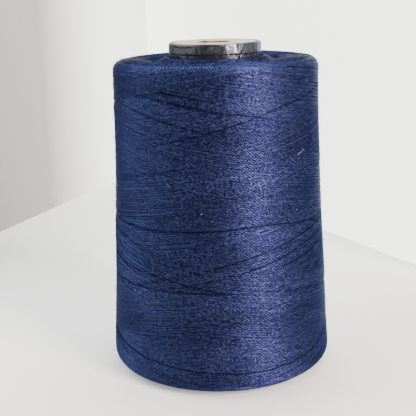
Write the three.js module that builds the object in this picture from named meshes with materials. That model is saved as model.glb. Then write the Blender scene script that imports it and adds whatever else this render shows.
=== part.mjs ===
// Spool of sewing thread: a capped paperboard core with a cross-wound package of thread on it.
// Millimetres, +Z up. The origin is on the axis, at the underside of the rim that the spool stands on.
// Nothing moves against anything else: the whole spool turns or stands on a spindle.
import * as THREE from 'three';

const HEIGHT = 137.2; // from rim to rim, along the axis
const GAP = 0.3; // clearance between neighbouring pieces
const FACETS = 48; // sides of the round core pieces
const THREAD_FACETS = 72; // sides of the thread package

const SPINDLE_RADIUS = 6.1; // hole that the spindle or spool pin goes through

const BAND_RADIUS = 19.1; // glossy band round each end of the core
const BAND_HEIGHT = 4.2;
const BAND_WALL = 0.5;
const LIP_WIDTH = 1.8; // the band turned in over the rim
const LIP_THICKNESS = 0.5;

const SLEEVE_RADIUS = 19.0; // glossy skin of the tube between the two bands
const SLEEVE_WALL = 0.4;

const TUBE_RADIUS = BAND_RADIUS - BAND_WALL - GAP;
const TUBE_WALL = 2.6;
const TUBE_END = LIP_THICKNESS + GAP; // how far the tube's cut end is set in from the rim

const LABEL_THICKNESS = 0.35;
const LABEL_INSET = 0.15; // how far a label lies below its rim
const PLUG_DEPTH = 8;

const THREAD_BORE = 19.4;
const THREAD_BASE = 1.6; // underside of the package above the rim
const BASE_RADIUS = 47.4; // widest ring, just above the base
const BASE_ROUND = 5;
const SHOULDER_RADIUS = 42.4; // top end of the package's side
const SHOULDER_HEIGHT = 126.8;
const SHOULDER_ROUND = 3.8;
const SIDE_STEPS = 12;
const TOP_STEPS = 12;
const ROUND_STEPS = 6;

// The side leans in steadily towards the top, with a slight waist: radius, height.
const SIDE = [[46.1, 26], [44.8, 52], [43.6, 78], [42.7, 102]];
// The top face is a low dome with a ring-shaped hollow and a mound that hugs the core: radius, height.
const TOP = [[35, 131.0], [30.5, 130.6], [27, 129.8], [24.6, 129.3], [22.4, 130.9], [20.4, 131.6]];

const navyThread = new THREE.MeshStandardMaterial({ color: 0x1b2346, roughness: 0.62, metalness: 0 });
const glossyBlack = new THREE.MeshStandardMaterial({ color: 0x26272b, roughness: 0.2, metalness: 0 });
const creamPaper = new THREE.MeshStandardMaterial({ color: 0xd8c9a0, roughness: 0.75, metalness: 0 });
const tanBoard = new THREE.MeshStandardMaterial({ color: 0xa87f4c, roughness: 0.85, metalness: 0 });
const kraftBoard = new THREE.MeshStandardMaterial({ color: 0x8d7350, roughness: 0.9, metalness: 0 });

const spool = new THREE.Group();

// Turns an outline of (radius, height) points, given anticlockwise and closed on itself, about the axis.
function addTurned(name, outline, material, facets) {
  const closed = outline[0].equals(outline.at(-1)) ? outline : [...outline, outline[0].clone()];
  const geometry = new THREE.LatheGeometry(closed, facets);
  geometry.rotateX(Math.PI / 2);
  const mesh = new THREE.Mesh(geometry, material);
  mesh.name = name;
  spool.add(mesh);
}

function points(pairs) {
  return pairs.map(([radius, height]) => new THREE.Vector2(radius, height));
}

// The same outline at the other end of the spool, still anticlockwise.
function flipped(outline) {
  return outline.map((p) => new THREE.Vector2(p.x, HEIGHT - p.y)).reverse();
}

function ring(inner, outer, low, high) {
  return points([[inner, low], [outer, low], [outer, high], [inner, high]]);
}

// A band is an upright wall with a lip turned in over the rim, drawn here for the base.
function bandOutline() {
  const wallInner = BAND_RADIUS - BAND_WALL;
  const lipInner = BAND_RADIUS - LIP_WIDTH;
  return points([
    [lipInner, 0],
    [BAND_RADIUS, 0],
    [BAND_RADIUS, BAND_HEIGHT],
    [wallInner, BAND_HEIGHT],
    [wallInner, LIP_THICKNESS],
    [lipInner, LIP_THICKNESS],
  ]);
}

function labelOutline() {
  const outer = BAND_RADIUS - LIP_WIDTH - GAP;
  return ring(SPINDLE_RADIUS, outer, LABEL_INSET, LABEL_INSET + LABEL_THICKNESS);
}

function plugOutline() {
  const outer = TUBE_RADIUS - TUBE_WALL - GAP;
  return ring(SPINDLE_RADIUS, outer, TUBE_END, TUBE_END + PLUG_DEPTH);
}

function threadOutline() {
  const sideFoot = new THREE.Vector2(BASE_RADIUS, THREAD_BASE + BASE_ROUND);
  const sideHead = new THREE.Vector2(SHOULDER_RADIUS, SHOULDER_HEIGHT);
  const shoulderTop = new THREE.Vector2(SHOULDER_RADIUS - SHOULDER_ROUND, SHOULDER_HEIGHT + SHOULDER_ROUND);
  const foot = new THREE.QuadraticBezierCurve(
    new THREE.Vector2(BASE_RADIUS - BASE_ROUND, THREAD_BASE),
    new THREE.Vector2(BASE_RADIUS, THREAD_BASE),
    sideFoot,
  );
  const side = new THREE.SplineCurve([sideFoot, ...points(SIDE), sideHead]);
  const shoulder = new THREE.EllipseCurve(
    shoulderTop.x, sideHead.y, SHOULDER_ROUND, SHOULDER_ROUND, 0, Math.PI / 2,
  );
  const top = new THREE.SplineCurve([shoulderTop, ...points(TOP)]);
  return [
    new THREE.Vector2(THREAD_BORE, THREAD_BASE),
    ...foot.getPoints(ROUND_STEPS),
    ...side.getPoints(SIDE_STEPS).slice(1),
    ...shoulder.getPoints(ROUND_STEPS).slice(1),
    ...top.getPoints(TOP_STEPS).slice(1),
    new THREE.Vector2(THREAD_BORE, TOP.at(-1)[1] - GAP),
  ];
}

const tube = ring(TUBE_RADIUS - TUBE_WALL, TUBE_RADIUS, TUBE_END, HEIGHT - TUBE_END);
const sleeveEnd = BAND_HEIGHT + GAP;
const sleeve = ring(SLEEVE_RADIUS - SLEEVE_WALL, SLEEVE_RADIUS, sleeveEnd, HEIGHT - sleeveEnd);

addTurned('core_tube', tube, kraftBoard, FACETS);
addTurned('tube_sleeve', sleeve, glossyBlack, FACETS);
addTurned('bottom_band', bandOutline(), glossyBlack, FACETS);
addTurned('bottom_plug', plugOutline(), tanBoard, FACETS);
addTurned('bottom_label', labelOutline(), creamPaper, FACETS);
addTurned('top_band', flipped(bandOutline()), glossyBlack, FACETS);
addTurned('top_plug', flipped(plugOutline()), tanBoard, FACETS);
addTurned('top_label', flipped(labelOutline()), creamPaper, FACETS);
addTurned('thread_package', threadOutline(), navyThread, THREAD_FACETS);

export default spool;
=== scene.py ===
"""Spool of navy sewing thread: the wound thread, the glossy core skin, its paper labels and its stage."""
import math
import bpy
import numpy as np
from mathutils import Matrix, Vector, noise


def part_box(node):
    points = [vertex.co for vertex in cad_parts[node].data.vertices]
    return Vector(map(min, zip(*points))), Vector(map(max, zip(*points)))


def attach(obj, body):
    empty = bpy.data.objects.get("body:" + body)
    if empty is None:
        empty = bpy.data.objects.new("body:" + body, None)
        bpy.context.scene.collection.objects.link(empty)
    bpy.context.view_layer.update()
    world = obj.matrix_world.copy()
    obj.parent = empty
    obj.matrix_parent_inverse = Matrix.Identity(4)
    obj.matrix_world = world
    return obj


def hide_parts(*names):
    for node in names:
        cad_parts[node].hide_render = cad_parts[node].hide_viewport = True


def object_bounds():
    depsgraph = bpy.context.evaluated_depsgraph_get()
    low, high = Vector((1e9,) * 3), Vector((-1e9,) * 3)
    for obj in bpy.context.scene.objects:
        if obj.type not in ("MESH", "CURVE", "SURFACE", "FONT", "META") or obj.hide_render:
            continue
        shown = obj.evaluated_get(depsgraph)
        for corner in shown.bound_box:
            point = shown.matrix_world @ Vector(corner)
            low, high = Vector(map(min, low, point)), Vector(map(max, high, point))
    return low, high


MM = 0.001
TURN = 2.0 * math.pi
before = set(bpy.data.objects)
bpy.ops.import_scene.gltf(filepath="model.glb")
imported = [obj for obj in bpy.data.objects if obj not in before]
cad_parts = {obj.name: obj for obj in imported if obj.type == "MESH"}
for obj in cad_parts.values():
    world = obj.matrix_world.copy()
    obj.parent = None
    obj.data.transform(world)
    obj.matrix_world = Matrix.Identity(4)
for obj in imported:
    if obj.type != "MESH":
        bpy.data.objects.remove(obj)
CAD_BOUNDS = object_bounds()


# ---------------------------------------------------------------- places, from the frame

def ring_of(node):
    """Outer radius, lowest and highest point of a turned node."""
    low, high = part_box(node)
    return high[0], low[2], high[2]


RIM = CAD_BOUNDS[1][2]                    # plane of the upper rim
BAND_R, BAND_LOW, _ = ring_of("top_band")
SLEEVE_R, SLEEVE_LOW, SLEEVE_TOP = ring_of("tube_sleeve")
LABEL_R, LABEL_LOW, LABEL_TOP = ring_of("top_label")
PLUG_R, PLUG_LOW, PLUG_TOP = ring_of("top_plug")
TUBE_R, TUBE_LOW, TUBE_TOP = ring_of("core_tube")


def inner_radius(node):
    """Smallest radius that a node's material reaches."""
    co = np.array([v.co[:2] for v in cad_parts[node].data.vertices])
    return float(np.hypot(co[:, 0], co[:, 1]).min())


HOLE_R = inner_radius("top_plug")
LIP_INNER = inner_radius("top_band")
TUBE_INNER = inner_radius("core_tube")


def package_section():
    """The thread package's outline as (radius, height), from the foot of its bore round the outside."""
    co = np.array([tuple(v.co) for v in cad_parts["thread_package"].data.vertices])
    flat = co[(np.abs(co[:, 1]) < 1e-6) & (co[:, 0] > 0)][:, [0, 2]]
    flat = np.unique(np.round(flat, 6), axis=0)
    middle = (flat.min(0) + flat.max(0)) / 2
    bore = flat[:, 0].min()
    angle = np.arctan2(flat[:, 1] - middle[1], flat[:, 0] - middle[0])
    start = math.atan2(flat[:, 1].min() - middle[1], bore - middle[0])
    order = np.argsort(np.mod(angle - start + 1e-4, TURN))
    return flat[order]


class Outline:
    """The package's outline, smoothed, by distance along it."""

    SIDE = 0.86                           # a radius above this share of the widest is on the side

    def __init__(self, section, step=0.5 * MM, blur=5):
        length = np.concatenate([[0], np.cumsum(np.hypot(*np.diff(section, axis=0).T))])
        self.s = np.arange(0, length[-1], step)
        line = np.stack([np.interp(self.s, length, section[:, k]) for k in (0, 1)], 1)
        kernel = np.ones(blur) / blur
        for k in (0, 1):
            padded = np.pad(line[:, k], blur // 2, mode="edge")
            line[:, k] = np.convolve(padded, kernel, mode="valid")
        self.line = line
        slope = np.gradient(line, axis=0)
        slope /= np.linalg.norm(slope, axis=1)[:, None]
        self.out = np.stack([slope[:, 1], -slope[:, 0]], 1)

    def at(self, s, lift=0.0):
        """Radius and height at distance s, lifted off the surface."""
        r, z = (np.interp(s, self.s, self.line[:, k]) for k in (0, 1))
        nr, nz = (np.interp(s, self.s, self.out[:, k]) for k in (0, 1))
        return r + nr * lift, z + nz * lift

    def where(self, height):
        """Distance along the side at which the outline passes a height."""
        side = self.line[:, 0] > self.line[:, 0].max() * self.SIDE
        return np.interp(height, self.line[side, 1], self.s[side])


PACKAGE = Outline(package_section())
THREAD_BORE = inner_radius("thread_package")
SIDE_R = 44 * MM                          # the package's radius, roughly, half way up
SKIN_LOW = BAND_LOW + 0.12 * MM           # lower edge of the glossy skin, above its slit


# ---------------------------------------------------------------- finishes

class Val:
    """A shader socket that Python arithmetic works on."""

    def __init__(self, finish, socket):
        self.finish = finish
        self.socket = socket

    def math(self, operation, *values):
        node = self.finish.node("ShaderNodeMath", {"operation": operation}, dict(enumerate(values)))
        return Val(self.finish, node.outputs[0])

    def __add__(self, other):
        return self.math("ADD", self, other)

    def __radd__(self, other):
        return self.math("ADD", other, self)

    def __sub__(self, other):
        return self.math("SUBTRACT", self, other)

    def __rsub__(self, other):
        return self.math("SUBTRACT", other, self)

    def __mul__(self, other):
        return self.math("MULTIPLY", self, other)

    def __rmul__(self, other):
        return self.math("MULTIPLY", other, self)

    def __truediv__(self, other):
        return self.math("DIVIDE", self, other)

    def __pow__(self, other):
        return self.math("POWER", self, other)

    def sin(self):
        return self.math("SINE", self)

    def arctan2(self, across):
        return self.math("ARCTAN2", self, across)

    def clamp(self, low=0.0, high=1.0):
        return self.math("MINIMUM", self.math("MAXIMUM", self, low), high)

    def ramp(self, low, high):
        """0 below low, 1 above high, straight between."""
        return ((self - low) / (high - low)).clamp()


class Finish:
    """One Principled material; constants are set on its own sockets, patterns are linked to them."""

    def __init__(self, name, **constants):
        self.material = bpy.data.materials.new(name)
        self.material.use_nodes = True
        self.tree = self.material.node_tree
        self.shader = self.tree.nodes["Principled BSDF"]
        for socket, value in constants.items():
            self.shader.inputs[socket.replace("_", " ")].default_value = value

    def node(self, kind, settings=None, sockets=None):
        node = self.tree.nodes.new(kind)
        for key, value in (settings or {}).items():
            setattr(node, key, value)
        for key, value in (sockets or {}).items():
            self.put(node.inputs[key], value)
        return node

    def put(self, socket, value):
        if isinstance(value, Val):
            self.tree.links.new(value.socket, socket)
        else:
            socket.default_value = value

    def val(self, node, output=0):
        return Val(self, node.outputs[output])

    def feed(self, socket, value):
        self.put(self.shader.inputs[socket], value)

    def object_axes(self, stretch=(1, 1, 1)):
        places = self.val(self.node("ShaderNodeTexCoord"), "Object")
        mapping = self.node("ShaderNodeMapping", None, {"Vector": places, "Scale": stretch})
        return self.val(mapping)

    def split(self, vector):
        node = self.node("ShaderNodeSeparateXYZ", None, {0: vector})
        return [self.val(node, k) for k in range(3)]

    def noise(self, vector, scale, detail=3.0, roughness=0.55, distortion=0.0):
        node = self.node("ShaderNodeTexNoise", None, {
            "Vector": vector, "Scale": scale, "Detail": detail,
            "Roughness": roughness, "Distortion": distortion,
        })
        return self.val(node, 0)

    def mix(self, factor, a, b):
        a, b = ((*c, 1) if isinstance(c, tuple) else c for c in (a, b))
        node = self.node("ShaderNodeMix", {"data_type": "RGBA"}, {0: factor, 6: a, 7: b})
        return self.val(node, 2)

    def bump(self, height, strength, distance):
        sockets = {"Height": height, "Strength": strength, "Distance": distance}
        self.feed("Normal", self.val(self.node("ShaderNodeBump", None, sockets)))


NAVY = (0.014, 0.0205, 0.068)
# deep navy: random darker patches, and painted shade between the beads
NAVY_DEEP = (0.0050, 0.0082, 0.031)
# painted shade of the groove under a tight turn
NAVY_GROOVE_SHADE = (0.003, 0.005, 0.019)
NAVY_WORN = (0.032, 0.042, 0.125)
# painted highlight on the brightest crests of the beads
NAVY_BEAD_HIGHLIGHT = (0.095, 0.108, 0.240)
FOIL = (0.088, 0.095, 0.118)
FOIL_DULL = (0.046, 0.048, 0.060)
CREAM = (0.34, 0.335, 0.235)
TAN = (0.37, 0.29, 0.13)
KRAFT = (0.36, 0.25, 0.14)
# near-black for painted shade: in the slit, the crevice, under the torn lip and at one side of the hole
SHADE_BLACK = (0.012, 0.009, 0.008)
CHALK = (0.11, 0.115, 0.11)
CHALK_GREY = (0.05, 0.052, 0.056)

FIBRE_DARK = (0.025, 0.037, 0.095)
FIBRE_LIGHT = (0.08, 0.105, 0.20)
LINT_DARK = (0.30, 0.33, 0.45)
LINT_LIGHT = (0.55, 0.58, 0.68)
TUBE_TAN = (0.42, 0.32, 0.20)

TWIST = 1.2 * MM                          # length of one bead of the twisted plies
HATCH = 1.25 * MM                         # spacing of the slanting rows that the specks fall into


def thread_finish(name, twisted=True, groove_shaded=False, edge=0.42):
    """Navy thread, finely specked in slanting rows; the specks are partly fibre texture and partly painted
    shade in the hollows of the twist and painted highlight on its crests. Twisted adds beads along a strand;
    the groove-shaded one is painted almost black, for the shade of the groove it lies in.
    """
    tint = (edge, edge * 1.05, edge * 1.2, 1)
    f = Finish(name, Roughness=0.4, Metallic=0.88, Specular_IOR_Level=0.15, Specular_Tint=tint)
    axes = f.object_axes()
    x, y, z = f.split(axes)
    surface_r = SIDE_R + 0.5 * MM
    hoop = y.arctan2(x) * surface_r
    drift = f.noise(axes, 240.0, 2.0)
    hatch = (TURN * (hoop + z * 1.1) / HATCH + drift * 9.0).sin() * 0.5 + 0.5
    speck = f.noise(axes, 1150.0, 1.0, 0.6)
    twist = (hatch * 0.26 + speck).ramp(0.46, 0.76)
    colour = f.mix(drift, NAVY, NAVY_WORN)
    if twisted:
        uv = f.node("ShaderNodeUVMap", {"uv_map": "thread"})
        along, around, _ = f.split(f.val(uv))
        beads = (TURN * (along * (MM / TWIST) + around)).sin() * 0.5 + 0.5
        twist = (twist * 0.85 + beads * 0.15).clamp()
    # Painted shade: the low parts of the speck pattern darken towards deep navy, between the beads.
    colour = f.mix(twist, NAVY_DEEP, colour)
    # Painted highlight: the brightest crests of the beads turn pale.
    colour = f.mix((twist * 2.2 - 1.3).clamp() * 0.4, colour, NAVY_BEAD_HIGHLIGHT)
    # Painted shade: a tight turn is darkened almost to black, for the shadow of the groove it lies in.
    if groove_shaded:
        colour = f.mix(0.9, colour, NAVY_GROOVE_SHADE)
    else:
        patches = f.noise(axes, 60.0, 3.0).ramp(0.4, 0.7)
        colour = f.mix(patches * 0.3, colour, NAVY_DEEP)
    f.feed("Base Color", colour)
    f.bump(twist, 0.8, 0.06 * MM)
    return f.material


def fuzz_finish(name, dark, light):
    """Dull loose fibre, streaked from dark to light."""
    f = Finish(name, Roughness=0.7, Specular_IOR_Level=0.3)
    strands = f.noise(f.object_axes(), 500.0, 2.0)
    f.feed("Base Color", f.mix(strands.ramp(0.35, 0.65), dark, light))
    f.bump(strands, 0.3, 0.03 * MM)
    return f.material


def foil_finish(name):
    """Glossy dark skin, scuffed and rippled, with painted shade in its slit and a painted shadow along the
    torn stretch of its lip.
    """
    f = Finish(name, Specular_IOR_Level=0.1, Specular_Tint=(0.5, 0.5, 0.54, 1))
    scuffs = f.noise(f.object_axes((1, 1, 0.25)), 420.0, 4.0).ramp(0.45, 0.75)
    _, _, z = f.split(f.object_axes())
    torn = f.val(f.node("ShaderNodeAttribute", {"attribute_name": "torn"}), "Fac")
    edge = 0.02 * MM
    slit = (z - SLEEVE_TOP).ramp(0.0, edge) * (SKIN_LOW - edge - z).ramp(0.0, edge)
    # Painted shade: the slit and the torn stretch go near-black, dull and rough.
    shade = (torn + slit).clamp()
    f.feed("Base Color", f.mix(shade, f.mix(scuffs, FOIL, FOIL_DULL), SHADE_BLACK))
    f.feed("Metallic", 0.9 - 0.9 * shade)
    f.feed("Roughness", 0.17 + 0.25 * scuffs + 0.5 * shade)
    ripples = f.noise(f.object_axes((1, 1, 0.5)), 170.0, 2.5, 0.5, 1.4)
    f.bump(ripples, 1.0, 0.5 * MM)
    return f.material


def label_finish(name):
    """Cream paper, rubbed through to tan board round the hole, with painted shade at the left of the hole.
    """
    f = Finish(name, Roughness=0.8)
    axes = f.object_axes()
    x, y, _ = f.split(axes)
    wear = f.noise(axes, 130.0, 4.0)
    centre, reach = -1.0 * MM, 10 * MM
    off = (x - centre) / reach
    rubbed = (0.75 - off * off + wear * 0.8 - y * 20.0).ramp(0.1, 0.8)
    fleck = f.noise(axes, 900.0, 2.0).ramp(0.55, 0.75)
    colour = f.mix(rubbed, CREAM, TAN)
    colour = f.mix(fleck * 0.35, colour, KRAFT)
    # Painted shade: at the left of the hole the edge band is wider and near-black.
    left_hole_shade = (-2.2 * MM - x).ramp(0.0, 1.2 * MM)
    radius = (x * x + y * y) ** 0.5
    hole_edge = (HOLE_R + 0.3 * MM + left_hole_shade * (0.9 * MM) - radius).ramp(0.0, 0.08 * MM)
    colour = f.mix(hole_edge, colour, f.mix(left_hole_shade, TAN, SHADE_BLACK))
    f.feed("Base Color", colour)
    f.bump(wear + fleck * 0.3, 0.5, 0.3 * MM)
    return f.material


def board_finish(name, light, dark, with_hole_shade=False):
    """Paperboard with short fibres. For the plug, painted shade darkens one side of its hole, broken up by
    blotches.
    """
    f = Finish(name, Roughness=0.88)
    fibre = f.noise(f.object_axes((1, 1, 4)), 700.0, 3.0)
    blotch = f.noise(f.object_axes(), 120.0, 3.0)
    colour = f.mix((fibre * 0.7 + blotch * 0.5 - 0.1).clamp(), dark, light)
    if with_hole_shade:
        x, y, _ = f.split(f.object_axes())
        # Painted shade on the left side of the hole, broken up by blotches.
        left_hole_shade = (blotch * 0.6 - (x + y * 0.2) / (7 * MM) - 0.35).ramp(0.0, 0.4)
        colour = f.mix(left_hole_shade, colour, SHADE_BLACK)
    f.feed("Base Color", colour)
    f.bump(fibre, 0.5, 0.2 * MM)
    return f.material


def chalk_finish(name):
    """The pale paper edge, with painted shade in the crevice below it."""
    f = Finish(name, Roughness=0.7)
    axes = f.object_axes()
    mottle = f.noise(axes, 300.0, 3.0)
    _, _, z = f.split(axes)
    depth = (RIM - z) / MM
    # Painted shade: from about a millimetre below the rim the paper goes near-black.
    crevice = (depth + mottle * 0.5).ramp(1.0, 1.25)
    f.feed("Base Color", f.mix(crevice, f.mix(mottle, CHALK, CHALK_GREY), SHADE_BLACK))
    f.bump(mottle, 0.4, 0.15 * MM)
    return f.material


# ---------------------------------------------------------------- modelling

def deselect():
    if bpy.context.object and bpy.context.object.mode != "OBJECT":
        bpy.ops.object.mode_set(mode="OBJECT")
    bpy.ops.object.select_all(action="DESELECT")


def dress(piece, material, slot, *stands_for):
    """Gives a piece its material, and says which CAD node it stands for. The slot argument is not used."""
    piece.data.materials.clear()
    piece.data.materials.append(material)
    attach(piece, "root")
    if stands_for:
        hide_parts(*stands_for)
    return piece


def spun(name, outline, steps):
    """Draws an outline of (radius, height) points as a chain of edges, and spins it about the axis."""
    deselect()
    first, *rest = [Vector((r, 0, z)) for r, z in outline]
    bpy.ops.mesh.primitive_plane_add(size=MM, location=first)
    piece = bpy.context.object
    piece.name = piece.data.name = name
    bpy.ops.object.transform_apply(location=True)
    bpy.ops.object.mode_set(mode="EDIT")
    bpy.ops.mesh.select_all(action="SELECT")
    bpy.ops.mesh.merge(type="CENTER")
    last = first
    for point in rest:
        bpy.ops.mesh.extrude_region_move(TRANSFORM_OT_translate={"value": point - last})
        last = point
    bpy.ops.mesh.select_all(action="SELECT")
    bpy.ops.mesh.spin(steps=steps, angle=TURN, center=(0, 0, 0), axis=(0, 0, 1))
    bpy.ops.mesh.select_all(action="SELECT")
    bpy.ops.mesh.remove_doubles(threshold=0.004 * MM)
    bpy.ops.mesh.normals_make_consistent(inside=False)
    bpy.ops.object.mode_set(mode="OBJECT")
    bpy.ops.object.shade_smooth_by_angle(angle=math.radians(35))
    return piece


def closed(outline):
    """The outline with its first point again at the end."""
    return [*outline, outline[0]]


def reshape(piece, move):
    """Moves every vertex: move takes and gives azimuth, radius and height."""
    for v in piece.data.vertices:
        azimuth = math.atan2(v.co.y, v.co.x)
        radius = math.hypot(v.co.x, v.co.y)
        azimuth, radius, height = move(azimuth, radius, v.co.z)
        v.co = (radius * math.cos(azimuth), radius * math.sin(azimuth), height)
    piece.data.update()


def upside_down(outline):
    """The same outline at the other end of the core."""
    return [(r, RIM - z) for r, z in reversed(outline)]


def hump(x, centre, width):
    """1 at the centre, falling smoothly to 0 on both sides."""
    return math.exp(-((x - centre) / width) ** 2)


def turned(azimuth, centre):
    """Signed angle in degrees from centre, in degrees, to azimuth, in radians."""
    return (math.degrees(azimuth) - centre + 180.0) % 360.0 - 180.0


def sweep(name, paths, radius, sides, out_from_axis=True):
    """One mesh of closed round strands along paths of points, of one radius or a list of them.

    Its UV map runs along each strand in mm, and once round it.
    """
    verts, quads, caps, uvs = [], [], [], []
    count = 0
    angle = np.arange(sides) * TURN / sides
    radii = radius if isinstance(radius, list) else [radius] * len(paths)
    for path, girth in zip(paths, radii):
        path = np.asarray(path, float)
        along = np.gradient(path, axis=0)
        along /= np.linalg.norm(along, axis=1)[:, None]
        up = path * (1, 1, 0) if out_from_axis else np.tile((0.0, 0.0, 1.0), (len(path), 1))
        up = up - along * np.sum(up * along, axis=1)[:, None]
        up /= np.linalg.norm(up, axis=1)[:, None]
        side = np.cross(along, up)
        rings = path[:, None] + girth * (
            np.cos(angle)[None, :, None] * up[:, None] + np.sin(angle)[None, :, None] * side[:, None])
        verts.append(rings.reshape(-1, 3))
        n = len(path)
        i, j = np.meshgrid(np.arange(n - 1), np.arange(sides), indexing="ij")
        k = (j + 1) % sides
        quad = np.stack([i * sides + j, i * sides + k, (i + 1) * sides + k, (i + 1) * sides + j], -1)
        quads.append(quad.reshape(-1, 4) + count)
        caps.append(np.arange(sides)[::-1] + count)
        caps.append(np.arange(sides) + (n - 1) * sides + count)
        dist = np.concatenate([[0], np.cumsum(np.linalg.norm(np.diff(path, axis=0), axis=1))]) / MM
        u = np.stack([dist[i], dist[i], dist[i + 1], dist[i + 1]], -1)
        v = np.stack([j, j + 1, j + 1, j], -1) / sides
        uvs.append(np.stack([u, v], -1).reshape(-1, 2))
        count += n * sides
    verts = np.concatenate(verts)
    quads = np.concatenate(quads)
    caps = np.array(caps)
    loops = np.concatenate([quads.ravel(), caps.ravel()])
    starts = np.concatenate([np.arange(len(quads)) * 4, len(quads) * 4 + np.arange(len(caps)) * sides])
    uv = np.zeros((len(loops), 2))
    uv[:len(quads) * 4] = np.concatenate(uvs)
    mesh = bpy.data.meshes.new(name)
    mesh.vertices.add(len(verts))
    mesh.vertices.foreach_set("co", verts.ravel())
    mesh.loops.add(len(loops))
    mesh.loops.foreach_set("vertex_index", loops)
    mesh.polygons.add(len(starts))
    mesh.polygons.foreach_set("loop_start", starts)
    layer = mesh.uv_layers.new(name="thread")
    layer.data.foreach_set("uv", uv.ravel())
    mesh.update(calc_edges=True)
    mesh.validate()
    mesh.shade_smooth()
    piece = bpy.data.objects.new(name, mesh)
    bpy.context.scene.collection.objects.link(piece)
    return piece


# ---------------------------------------------------------------- the wound thread

FRONT = -90.0                             # azimuth that faces the camera
STRAND = 0.215 * MM                       # radius of the thread
SIDES = 5
STEP = math.radians(6.0)                  # one section of a strand
FOOT = PACKAGE.where(1.9 * MM) - 2.2 * MM  # the traverse turns just round the lower edge
HEAD = PACKAGE.where(127 * MM) + 4.6 * MM  # and just over the shoulder
TRAVERSES = 190
WRAPS = 3.00525                           # turns of the spool in one traverse
DEPTH = 0.42 * MM                         # thickness of the layers that are modelled
PIECES = 3

# Tight turns of thread that bite into the package: azimuth from the front in degrees, height in mm.
TIGHT = {
    "waist_hoop": [(-176, 70), (-130, 68.6), (-84, 67.6), (-40, 67.0), (-5, 68.2), (22, 69.3), (60, 66.9),
                   (84, 67.2), (130, 68.8), (176, 70)],
    "right_upper": [(-62, 40), (0, 54.1), (26, 58.9), (50, 62.9), (84, 66), (150, 77)],
    "right_lower": [(-40, 42), (2, 49.6), (29, 54.4), (51, 58.6), (84, 61.4), (150, 71)],
    "right_short": [(18, 48.8), (38, 52.2), (60, 55), (96, 60.5)],
    "left_fall": [(-140, 62), (-84, 53.1), (-60, 50.2), (-39, 49), (-24, 47.5), (20, 40)],
    "left_level": [(-150, 40), (-84, 41.5), (-50, 42.7), (-13, 43.5), (24, 43)],
    "shoulder_rise": [(-50, 98), (4, 107.6), (12, 109.2), (31, 113.4), (50, 116.3), (76, 120.2), (110, 126)],
    "shoulder_fall": [(-40, 119), (-2, 113.7), (17, 111.8), (52, 105)],
    "left_high": [(-110, 129), (-65, 124.3), (-30, 120.9), (10, 116)],
    "left_high_twin": [(-110, 126), (-66, 121.6), (-30, 117.9), (4, 113.5)],
    "left_middle": [(-110, 122), (-68, 116), (-40, 111.7), (-22, 108.7), (20, 101)],
    "left_faint": [(-90, 80), (-50, 87.4), (-30, 90.3), (0, 95)],
    "right_foot": [(10, 45), (39, 41), (49, 40), (67, 37.6), (84, 34.6), (130, 27)],
    "foot_hoop": [(-120, 24), (-84, 17), (-71, 15.4), (-55, 14), (-32, 12.2), (-8, 11), (18, 10), (39, 11),
                  (56, 12.7), (75, 16.5), (110, 25)],
    "back_rise": [(110, 30), (150, 39), (190, 47), (235, 57)],
    "back_fall": [(120, 106), (165, 98), (215, 88), (250, 81)],
}
BITE = 0.55 * MM                          # depth of the groove under a tight turn
BITE_WIDTH = 0.5 * MM                     # and its half width
FAINT_BITE = 0.38 * MM                    # the same two under the ones that are nearly covered
FAINT_WIDTH = 0.36 * MM
TIGHT_STRAND = 0.24 * MM                  # radius of a tight turn, sunk and shaded
FAINT_STRAND = 0.17 * MM                  # and of the ones that are nearly covered
FAINT = ("left_high", "left_high_twin", "left_middle", "left_faint", "shoulder_fall")
SINK = 0.28 * MM                          # a tight turn lies this far below the outer layers
DIVE = 0.5 * MM                           # and its ends go this much deeper

PUFF = 0.2 * MM                           # how far the outer layers stand proud of the package
BODY_INSET = 0.62 * MM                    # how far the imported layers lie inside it

DIMPLES = (-108, 115)                     # azimuths of the two dimples beside the core, from the front
FUZZ = 2600                               # loose fibres
FIBRE_R = 0.028 * MM

# Caught lint: azimuth from the front in degrees, height, length and girth in mm, and slant in radians.
LINT = {
    "speck_left": (-8.9, 75.4, 0.6, 0.10, 0.6),
    "speck_low": (-49.8, 40.4, 0.7, 0.08, 0.2),
    "hair_high": (48.6, 95.5, 4.6, 0.035, 0.4),
    "speck_right": (44.1, 73.1, 0.8, 0.06, 0.2),
}


def waver(values, seed, scale):
    """Slow random drift, the same each run."""
    rng = np.random.default_rng(seed)
    knots = np.arange(0, values.max() * scale + 3)
    return np.interp(values * scale, knots, rng.normal(0, 1, len(knots)))


def smooth_wave(x, sharpness=0.985):
    """A triangle wave between 0 and 1 with rounded turns, of period 2."""
    return 0.5 - np.arcsin(sharpness * np.cos(math.pi * x)) / (2 * math.asin(sharpness))


def winding_route():
    """The one thread that makes the outer layers: turn angle, distance along the outline, and lift."""
    turn = np.arange(0, TRAVERSES * WRAPS * TURN, STEP)
    traverse = turn / (WRAPS * TURN)
    traverse = traverse + 0.0009 * waver(traverse, 11, 1.0) + 0.0004 * waver(traverse, 12, 6.0)
    reach = smooth_wave(traverse)
    s = FOOT + (HEAD - FOOT) * reach
    s = s + 0.16 * MM * waver(turn, 14, 0.7)
    lift = -DEPTH + DEPTH * turn / turn[-1] - STRAND
    lift = lift + 0.03 * MM * waver(turn, 13, 1.3)
    height = PACKAGE.at(s)[1]
    return turn, s, lift + puff(height) - groove(turn, height)


def off_the_foot(height):
    """0 at the widest part, near the foot, and 1 from a little above it."""
    return np.interp(height, [8 * MM, 24 * MM], [0, 1])


def puff(height):
    """The outer layers stand a little proud, except at the widest part."""
    return PUFF * off_the_foot(height)


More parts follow.
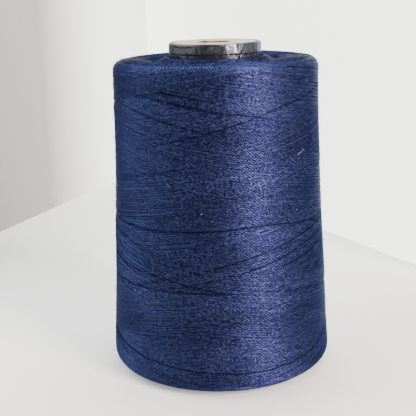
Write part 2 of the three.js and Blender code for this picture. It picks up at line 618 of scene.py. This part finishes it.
def tight_curve(points):
    """A smooth course through the points: finely stepped turn angle and height."""
    azimuth, height = np.array(points, float).T
    fine = np.arange(azimuth[0], azimuth[-1], 2.0)
    slope = np.gradient(height, azimuth)
    k = np.clip(np.searchsorted(azimuth, fine, side="right") - 1, 0, len(azimuth) - 2)
    span = azimuth[k + 1] - azimuth[k]
    t = (fine - azimuth[k]) / span
    course = (
        height[k] * (1 + 2 * t) * (1 - t) ** 2 + slope[k] * span * t * (1 - t) ** 2
        + height[k + 1] * t ** 2 * (3 - 2 * t) + slope[k + 1] * span * t ** 2 * (t - 1))
    return np.radians(fine + FRONT), course * MM


def sunk_ends(count, over=9):
    """1 at both ends of a strand, falling to 0 over its first and last sections."""
    k = np.arange(count)
    return np.clip(1 - np.minimum(k, count - 1 - k) / over, 0, 1)


def groove(turn, height):
    """How far the layers are pressed in by the tight turns."""
    depth = np.zeros_like(height)
    for name, points in TIGHT.items():
        bite, width = (FAINT_BITE, FAINT_WIDTH) if name in FAINT else (BITE, BITE_WIDTH)
        course, level = tight_curve(points)
        here = course[0] + np.mod(turn - course[0], TURN)
        fade = 1 - np.interp(here, course, sunk_ends(len(course)))
        off = (height - np.interp(here, course, level)) / width
        inside = here <= course[-1]
        depth = np.maximum(depth, np.where(inside, bite * fade * np.exp(-off ** 2), 0))
    return depth


def build_tight_turns(material):
    """The turns that bite into the package, each in its groove."""
    paths, radii = [], []
    for name, points in TIGHT.items():
        radius = FAINT_STRAND if name in FAINT else TIGHT_STRAND
        course, level = tight_curve(points)
        s = PACKAGE.where(level)
        lift = puff(level) - SINK - radius - DIVE * sunk_ends(len(course))
        paths.append(on_package(course, s, lift))
        radii.append(radius)
    dress(sweep("thread_tight_turns", paths, radii, 8), material, "navy_thread", "thread_package")


def on_package(turn, s, lift):
    """Points at turn angles and distances along the outline, lifted off the surface."""
    r, z = PACKAGE.at(s, lift)
    return np.stack([r * np.cos(turn), r * np.sin(turn), z], 1)


def build_winding(material):
    """The outer layers, cut into pieces of equal length along the one thread."""
    turn, s, lift = winding_route()
    path = on_package(turn, s, lift)
    cut = np.linspace(0, len(path), PIECES + 1).astype(int)
    for k in range(PIECES):
        part = path[cut[k]:cut[k + 1] + 1]
        strand = sweep(f"thread_winding_{k + 1}", [part], STRAND, SIDES)
        dress(strand, material, "navy_thread", "thread_package")


def build_fuzz(material):
    """Short loose fibres all over the package."""
    rng = np.random.default_rng(41)
    paths = []
    for _ in range(FUZZ):
        turn = rng.uniform(0, TURN)
        s = rng.uniform(FOOT, PACKAGE.s[-1] - 6 * MM)
        lean, reach, rise = rng.uniform(0, TURN), rng.uniform(0.8, 3.4) * MM, rng.uniform(0.2, 1.2) * MM
        t = np.linspace(0, 1, 5)
        bow = rise * np.sin(t * rng.uniform(1.6, 3.0)) - 0.15 * MM
        swing = lean + t * rng.uniform(-1.2, 1.2)
        height = PACKAGE.at(s)[1]
        bow = bow + puff(height) - 0.9 * rise * (1 - off_the_foot(height))
        across = turn + np.cos(swing) * t * reach / SIDE_R
        paths.append(on_package(across, s + np.sin(swing) * t * reach, bow))
    dress(sweep("thread_fuzz", paths, FIBRE_R, 3), material, "navy_thread", "thread_package")


def build_lint(material):
    """A few pale bits of lint caught in the thread."""
    paths = []
    for azimuth, height, length, _, slant in LINT.values():
        t = np.linspace(-0.5, 0.5, 6)
        turn = math.radians(azimuth + FRONT) + t * length * MM * math.cos(slant) / SIDE_R
        s = PACKAGE.where(height * MM) + t * length * MM * math.sin(slant)
        paths.append(on_package(turn, s, puff(height * MM) + 0.08 * MM - 0.3 * MM * t ** 2))
    girths = [girth * MM for _, _, _, girth, _ in LINT.values()]
    dress(sweep("thread_lint", paths, girths, 5), material, "navy_thread", "thread_package")


def dimple(azimuth, radius, height):
    """How far the top face sinks where the thread has slipped off the shoulder beside the core."""
    below_the_face = 126 * MM
    if height < below_the_face:
        return 0.0
    near = sum(hump(turned(azimuth, FRONT + place), 0, 15) for place in DIMPLES)
    return 1.3 * MM * near * hump(radius, 25.8 * MM, 3.2 * MM)


def build_face(name, start, end, seed, material):
    """The package's end face: the turns of thread that show between two distances along the outline."""
    pitch = 1.75 * STRAND
    turns = abs(end - start) / pitch
    turn = np.arange(0, turns * TURN, math.radians(5.0))
    s = start + (end - start) * turn / turn[-1]
    s = s + 0.22 * MM * waver(turn, seed, 0.9) + 0.25 * MM * np.sin(turn + 0.6)
    lift = -STRAND * 1.3 + 0.09 * MM * waver(turn, seed + 1, 0.35)
    low, high = min(start, end), max(start, end)
    path = on_package(turn, s.clip(low, high), lift)
    azimuth, radius = np.arctan2(path[:, 1], path[:, 0]), np.hypot(path[:, 0], path[:, 1])
    path[:, 2] -= [dimple(*place) for place in zip(azimuth, radius, path[:, 2])]
    strand = sweep(name, [path], STRAND, SIDES, out_from_axis=False)
    dress(strand, material, "navy_thread", "thread_package")


def build_body(material):
    """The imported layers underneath, a little inside the strands."""
    s = np.concatenate([
        np.linspace(0.6 * MM, FOOT, 14),
        np.linspace(FOOT, HEAD, 48)[1:],
        np.linspace(HEAD, PACKAGE.s[-1] - 0.4 * MM, 24)[1:],
    ])
    r, z = PACKAGE.at(s, -BODY_INSET)
    outline = [(max(a, THREAD_BORE + 0.1 * MM), b) for a, b in zip(r, z)]
    bore = [(THREAD_BORE, outline[0][1] + 0.3 * MM), (THREAD_BORE, outline[-1][1] - 0.3 * MM)]
    outline = [bore[0], *outline, bore[1]]
    body = spun("thread_body", closed(outline), 144)
    reshape(body, lambda a, radius, height: (a, radius, height - 1.1 * dimple(a, radius, height)))
    dress(body, material, "navy_thread", "thread_package")


# ---------------------------------------------------------------- the core's ends

TEAR = (-45, 15)                          # torn stretch of the lip: azimuth from the front, half width
BACK_TEAR = (150, 25)

# Creases of the skin near the rim: azimuth from the front, half width, depth, and lean in degrees per mm.
CREASES = ((8, 3, 0.7, 6), (38, 7, 0.3, 0), (-95, 5, 0.3, 0))


def crumple(azimuth, radius, height):
    """Creases and a torn edge where the skin turns over the upper rim."""
    a = turned(azimuth, FRONT)
    drop = (RIM - height) / MM
    near_rim = max(0.0, min(1.0, 1.0 - drop / 3.0))
    tear = 1.25 * hump(a, *TEAR) * (1 + 0.25 * math.sin(a * 0.6)) + 0.4 * hump(a, *BACK_TEAR)
    crease = sum(depth * hump(a - lean * drop, at, width) for at, width, depth, lean in CREASES)
    place = Vector((math.cos(azimuth), math.sin(azimuth), height * 40)) * 3.2
    ruffle = noise.noise(place) + 0.5 * noise.noise(place * 2.7)
    radius = radius - near_rim * MM * (0.28 * crease + 0.10 * abs(ruffle))
    height = height - near_rim ** 2 * MM * (tear + 0.35 * crease + 0.16 * (ruffle + 0.6))
    return azimuth, radius, min(height, RIM)


def mark_tear(skin):
    """Marks the torn stretch of the lip, where the foil's finish paints the shadow under the torn edge."""
    torn = skin.data.attributes.new("torn", "FLOAT", "POINT")
    for v, mark in zip(skin.data.vertices, torn.data):
        a = turned(math.atan2(v.co.y, v.co.x), FRONT)
        mark.value = min(1.0, 2.0 * hump(a, *TEAR)) if v.co.z > RIM - 1.2 * MM else 0.0


def skin_outline():
    """The glossy skin's wall and its lip, from the lower edge up and over the rim, and back inside."""
    wall = 0.16 * MM
    lip = LIP_INNER + 0.2 * MM
    r = BAND_R - 0.02 * MM
    steps = [SKIN_LOW + (RIM - 0.7 * MM - SKIN_LOW) * k / 8 for k in range(9)]
    outer = [(r, z) for z in steps]
    outer += [(r - 0.15 * MM, RIM - 0.25 * MM), (r - 0.45 * MM, RIM - 0.04 * MM), (lip, RIM - 0.02 * MM)]
    inner = [(lip, RIM - 0.16 * MM), (r - 0.5 * MM, RIM - 0.2 * MM), (r - wall - 0.12 * MM, RIM - 0.4 * MM)]
    inner += [(r - wall, z) for z in reversed(steps)]
    return outer + inner


def paper_rim_outline():
    """The pale edge of the tube's paper under the skin."""
    r = BAND_R - 0.2 * MM
    inner = LIP_INNER + 0.1 * MM
    over_tube = TUBE_R + 0.05 * MM
    ledge, foot = RIM - 0.9 * MM, BAND_LOW + 0.6 * MM
    return [
        (inner, ledge), (over_tube, ledge), (over_tube, foot), (r, foot),
        (r, RIM - 0.7 * MM), (r - 0.3 * MM, RIM - 0.22 * MM), (r - 0.8 * MM, RIM - 0.12 * MM),
        (inner, RIM - 0.2 * MM),
    ]


def label_outline():
    """A thin paper disc, softened at the edge of the spindle hole."""
    top, low = LABEL_TOP, LABEL_LOW
    inner = HOLE_R + 0.15 * MM
    rings = [inner + (LABEL_R - inner) * k / 14 for k in range(15)]
    face = [(r, top - 0.05 * MM) for r in reversed(rings[1:])]
    return [(inner, low), (LABEL_R, low), *face, (inner, top - 0.12 * MM)]


def uneven(azimuth, radius, height):
    """Slight waves in the paper."""
    place = Vector((radius * math.cos(azimuth), radius * math.sin(azimuth), 0)) * 130.0
    return azimuth, radius, height + 0.05 * MM * noise.noise(place)


def plug_outline():
    """A bored board disc with its edges eased."""
    bevel = 0.35 * MM
    return [
        (HOLE_R, PLUG_LOW + bevel), (HOLE_R + bevel, PLUG_LOW), (PLUG_R - bevel, PLUG_LOW),
        (PLUG_R, PLUG_LOW + bevel), (PLUG_R, PLUG_TOP - bevel), (PLUG_R - bevel, PLUG_TOP),
        (HOLE_R + bevel, PLUG_TOP), (HOLE_R, PLUG_TOP - bevel),
    ]


def sleeve_outline():
    """The sleeve's wall, with a thin tongue at each end that shows behind the slit."""
    wall = 0.38 * MM
    tongue = 0.45 * MM
    lows = [SLEEVE_LOW + (SLEEVE_TOP - SLEEVE_LOW) * k / 30 for k in range(31)]
    outer = [(SLEEVE_R, z) for z in lows]
    step, back = SLEEVE_R - 0.3 * MM, SLEEVE_R - wall
    slit = [(step, SLEEVE_TOP), (step, SLEEVE_TOP + tongue), (back, SLEEVE_TOP + tongue)]
    foot = [(back, SLEEVE_LOW - tongue), (step, SLEEVE_LOW - tongue), (step, SLEEVE_LOW)]
    return outer + slit + foot


def build_core(foil, chalk, paper, plug, board):
    """Skin, paper rim, label and plug at both ends, and the sleeve and tube between them."""
    ends = (("top", lambda o: o, crumple), ("bottom", upside_down, None))
    for end, place, wear in ends:
        skin = spun(f"{end}_skin", closed(place(skin_outline())), 240)
        if wear:
            mark_tear(skin)
            reshape(skin, wear)
        dress(skin, foil, "glossy_skin", f"{end}_band")
        dress(spun(f"{end}_paper_rim", closed(place(paper_rim_outline())), 160), chalk, "cream_paper")
        label = spun(f"{end}_paper_label", closed(place(label_outline())), 120)
        reshape(label, uneven)
        dress(label, paper, "cream_paper", f"{end}_label")
        disc = spun(f"{end}_board_plug", closed(place(plug_outline())), 96)
        dress(disc, plug, "tan_board", f"{end}_plug")
    dress(spun("core_sleeve", closed(sleeve_outline()), 192), foil, "glossy_skin", "tube_sleeve")
    tube = [(TUBE_INNER, TUBE_LOW), (TUBE_R, TUBE_LOW), (TUBE_R, TUBE_TOP), (TUBE_INNER, TUBE_TOP)]
    dress(spun("board_tube", closed(tube), 96), board, "kraft_board", "core_tube")


# ---------------------------------------------------------------- stage, light and camera

WALL_GLOW = 3.0
# Painted shade on the walls: the left wall is darker than the right, and darkest at its near end.
WALL_SHADE = (0.070, 0.074, 0.060)
WALL_LEFT = (0.56, 0.59, 0.53)
WALL_RIGHT = (0.90, 0.95, 0.87)
WALL_RIGHT_DIM = (0.86, 0.89, 0.83)
WALL_GREY = (0.3, 0.3, 0.3)
WALL_FOOT = ((-190, 103), (-58.5, 422.6), (132, 80))  # left end, corner and right end, in mm
WALL_HEIGHT = 0.32
FLOOR_GREY = (0.67, 0.70, 0.67)
FLOOR_PALE = (0.72, 0.75, 0.72)
FLOOR_LIGHT = (0.97, 0.98, 1.0)
FLOOR_GLOW = 0.27                         # light that the pale floor gives off itself
SKY = (0.9, 0.94, 1.0)


def build_stage():
    """A pale floor that curves up into a round wall, all one sheet."""
    low = CAD_BOUNDS[0][2] - 0.05 * MM
    bend, reach, height = 0.9, 2.6, 3.0
    curve = [(reach - bend + bend * math.sin(a), low + bend - bend * math.cos(a))
             for a in (math.pi / 2 * k / 10 for k in range(11))]
    sweep_up = spun("pale_floor", [(0.0, low), (0.4, low), (1.0, low), *curve, (reach, low + height)], 64)
    f = Finish("pale_floor", Roughness=0.6, Specular_IOR_Level=0.3,
               Emission_Color=(*FLOOR_LIGHT, 1), Emission_Strength=FLOOR_GLOW)
    f.feed("Base Color", f.mix(f.noise(f.object_axes(), 2.0), FLOOR_GREY, FLOOR_PALE))
    sweep_up.data.materials.append(f.material)


def build_corner():
    """Two pale walls that meet in a corner behind the spool, glowing in their own tone, the left one with
    painted shade. From behind they are clear.
    """
    low = CAD_BOUNDS[0][2] - 0.04 * MM
    points = [Vector((x * MM, y * MM, low)) for x, y in WALL_FOOT]
    deselect()
    bpy.ops.mesh.primitive_plane_add(size=MM, location=points[0])
    walls = bpy.context.object
    walls.name = walls.data.name = "corner_walls"
    bpy.ops.object.transform_apply(location=True)
    bpy.ops.object.mode_set(mode="EDIT")
    bpy.ops.mesh.select_all(action="SELECT")
    bpy.ops.mesh.merge(type="CENTER")
    for here, there in zip(points, points[1:]):
        bpy.ops.mesh.extrude_region_move(TRANSFORM_OT_translate={"value": there - here})
    bpy.ops.mesh.select_all(action="SELECT")
    bpy.ops.mesh.extrude_region_move(TRANSFORM_OT_translate={"value": (0, 0, WALL_HEIGHT)})
    bpy.ops.object.mode_set(mode="OBJECT")
    if walls.data.polygons[0].normal.y > 0:
        walls.data.flip_normals()
    f = Finish("corner_walls", Roughness=0.8, Specular_IOR_Level=0.2, Emission_Strength=WALL_GLOW)
    axes = f.object_axes()
    x, _, _ = f.split(axes)
    beyond = (x - points[1].x).ramp(0.0, 0.05 * MM)
    # Painted shade: the left wall takes a darker tone than the right, falling further towards its near end.
    left = f.mix(x.ramp(-0.124, -0.086), WALL_SHADE, WALL_LEFT)
    tone = f.mix(beyond, left, f.mix(f.noise(axes, 3.0), WALL_RIGHT, WALL_RIGHT_DIM))
    f.feed("Base Color", f.mix(0.5, tone, WALL_GREY))
    f.feed("Emission Color", tone)
    back = f.val(f.node("ShaderNodeNewGeometry"), "Backfacing")
    f.feed("Alpha", 1.0 - back)
    walls.data.materials.append(f.material)


def build_dark_card():
    """The unlit side of the room, behind the camera. It darkens reflections and isn't seen itself."""
    deselect()
    bpy.ops.mesh.primitive_plane_add(size=1.0, location=(0, 0, 0))
    card = bpy.context.object
    card.name = "dark_card"
    card.scale = (1.5, 1.3, 1.0)
    aim(card, around(-12, 1.15, 0.45), (0, 0, 0.1))
    bpy.ops.object.transform_apply(location=True, rotation=True, scale=True)
    f = Finish("dark_card", Roughness=0.9, Base_Color=(0.03, 0.03, 0.04, 1))
    card.data.materials.append(f.material)
    card.visible_camera = False


def aim(thing, place, target):
    """Puts a thing at a place with its -Z axis towards the target."""
    direction = Vector(target) - Vector(place)
    thing.location = place
    thing.rotation_euler = direction.to_track_quat("-Z", "Y").to_euler()


def around(azimuth, distance, height):
    """A place at an azimuth in degrees from the camera's side, positive to the right."""
    a = math.radians(FRONT + azimuth)
    return (distance * math.cos(a), distance * math.sin(a), height)


def soft_light(name, azimuth, distance, height, size, power, colour):
    """A lit panel of a given width and height, aimed at the middle of the spool."""
    data = bpy.data.lights.new(name, "AREA")
    data.shape = "RECTANGLE"
    data.size, data.size_y = size
    data.energy = power
    data.color = colour
    lamp = bpy.data.objects.new(name, data)
    bpy.context.scene.collection.objects.link(lamp)
    lamp.visible_camera = False
    aim(lamp, around(azimuth, distance, height), (0, 0, RIM * 0.55))


def build_light():
    """Three soft panels in a pale room."""
    soft_light("window_right", azimuth=45, distance=0.95, height=0.42,
               size=(0.30, 0.8), power=39.0, colour=(1.0, 0.76, 0.74))
    soft_light("wall_left", azimuth=-105, distance=0.5, height=0.48,
               size=(0.60, 0.45), power=6.5, colour=(0.95, 0.93, 0.95))
    soft_light("ceiling", azimuth=170, distance=0.5, height=1.5,
               size=(1.1, 1.0), power=25.0, colour=(1.0, 1.0, 0.98))
    world = bpy.data.worlds.new("pale_room")
    bpy.context.scene.world = world
    world.use_nodes = True
    sky = world.node_tree.nodes["Background"]
    sky.inputs["Color"].default_value = (*SKY, 1)
    sky.inputs["Strength"].default_value = 0.9


def build_camera():
    """A long lens a little above the level of the spool's top, looking down and rolled slightly."""
    data = bpy.data.cameras.new("camera")
    data.sensor_width = 36.0
    data.lens = 73.14
    data.clip_start = 0.01
    camera = bpy.data.objects.new("camera", data)
    bpy.context.scene.collection.objects.link(camera)
    eye = Vector((-2.2, -353.2, 158.6)) * MM
    pitch, yaw, roll = 0.2553, 0.0066, -0.0261
    turn = Matrix.Rotation(yaw, 4, "Z") @ Matrix.Rotation(math.pi / 2 - pitch, 4, "X")
    camera.matrix_world = Matrix.Translation(eye) @ turn @ Matrix.Rotation(roll, 4, "Z")
    bpy.context.scene.camera = camera


# ---------------------------------------------------------------- assembly

def build_spool():
    """The package of thread first, from the inside out, and then the core."""
    thread = thread_finish("navy_spun_thread")
    packed = thread_finish("navy_packed_thread", twisted=False)
    build_body(packed)
    build_winding(thread)
    # The tight turns carry painted groove shade.
    build_tight_turns(thread_finish("navy_tight_thread", groove_shaded=True))
    build_fuzz(fuzz_finish("loose_fibre", FIBRE_DARK, FIBRE_LIGHT))
    build_lint(fuzz_finish("pale_lint", LINT_DARK, LINT_LIGHT))
    face = thread_finish("navy_face_thread", edge=0.2)
    build_face("thread_top_face", HEAD - 3 * MM, PACKAGE.s[-1] - 0.5 * MM, 21, face)
    build_face("thread_base_face", FOOT + 3 * MM, 0.6 * MM, 31, face)
    build_core(
        foil_finish("glossy_foil"),
        chalk_finish("pale_paper_edge"),
        label_finish("worn_label_paper"),
        # The plug's board carries painted shade on one side of its hole.
        board_finish("tan_plug_board", TAN, KRAFT, with_hole_shade=True),
        board_finish("kraft_tube_board", TUBE_TAN, KRAFT),
    )


build_camera()
build_spool()
build_stage()
build_corner()
build_dark_card()
build_light()
